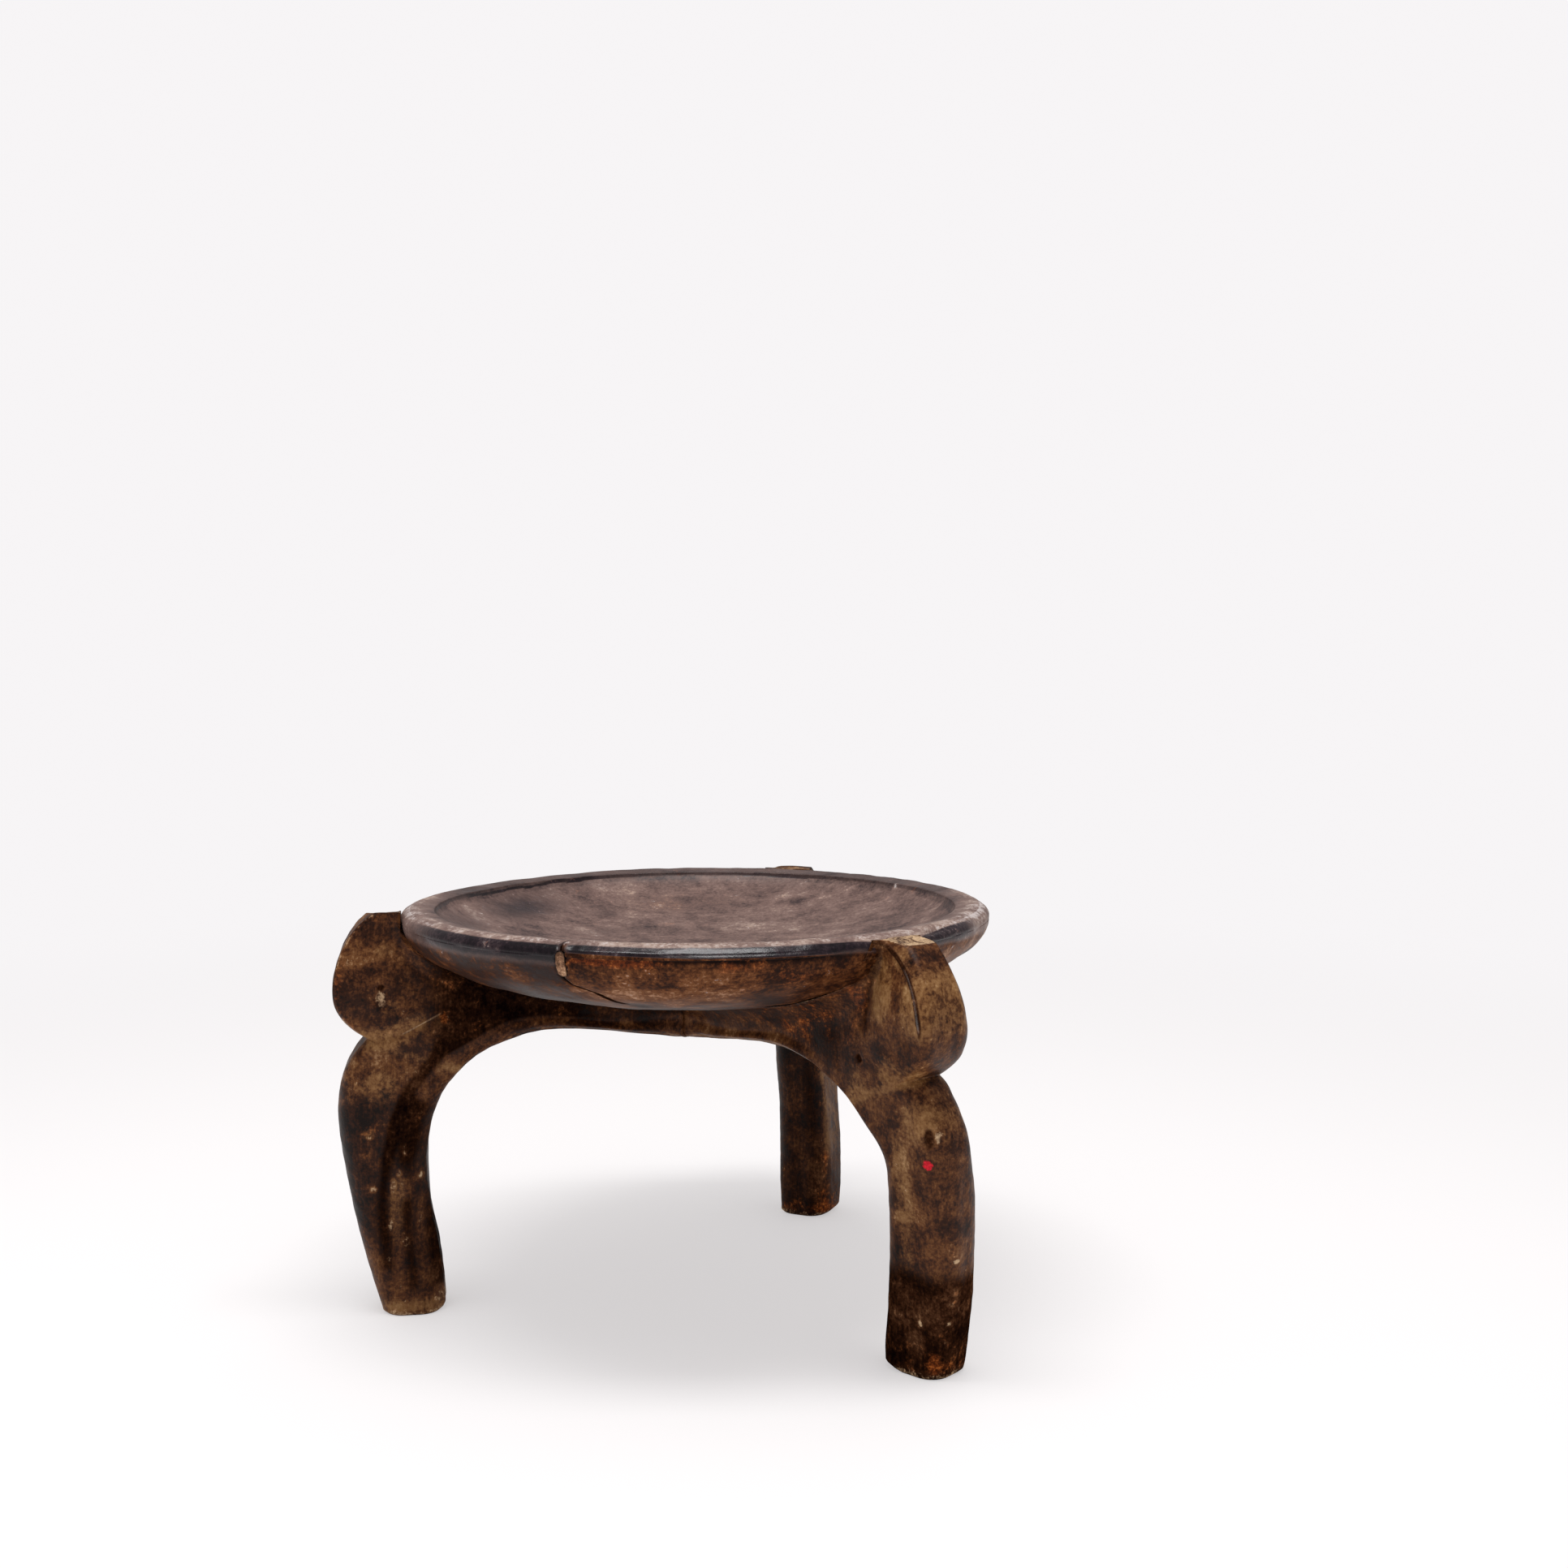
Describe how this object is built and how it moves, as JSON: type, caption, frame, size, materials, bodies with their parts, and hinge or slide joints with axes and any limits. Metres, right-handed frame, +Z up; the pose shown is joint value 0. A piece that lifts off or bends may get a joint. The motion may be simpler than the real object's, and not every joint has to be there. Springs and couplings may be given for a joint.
{
  "type": "carved stool",
  "caption": "Low round carved wooden stool: a shallow dished seat on bowed legs, each with a rounded knob that rises beside the rim.",
  "frame": {"origin": "middle of the stool's footprint box on the floor", "axes": "+Z up; +X to the sitter's right in the picture's view; +Y away from the picture's camera"},
  "size_m": [0.3752, 0.369, 0.229],
  "materials": {
    "seat_wood": "dark grey-brown hardwood, hand-polished to a satin sheen by use",
    "leg_wood": "mottled brown and black hardwood with olive and ochre rubs, satin",
    "plug_wood": "pale tan wood filler, matt"
  },
  "bodies": {
    "root": {"seat_dish": "seat_wood", "rim_plug": "plug_wood", "leg_left": "leg_wood", "leg_right": "leg_wood", "leg_rear": "leg_wood"}
  },
  "joints": []
}
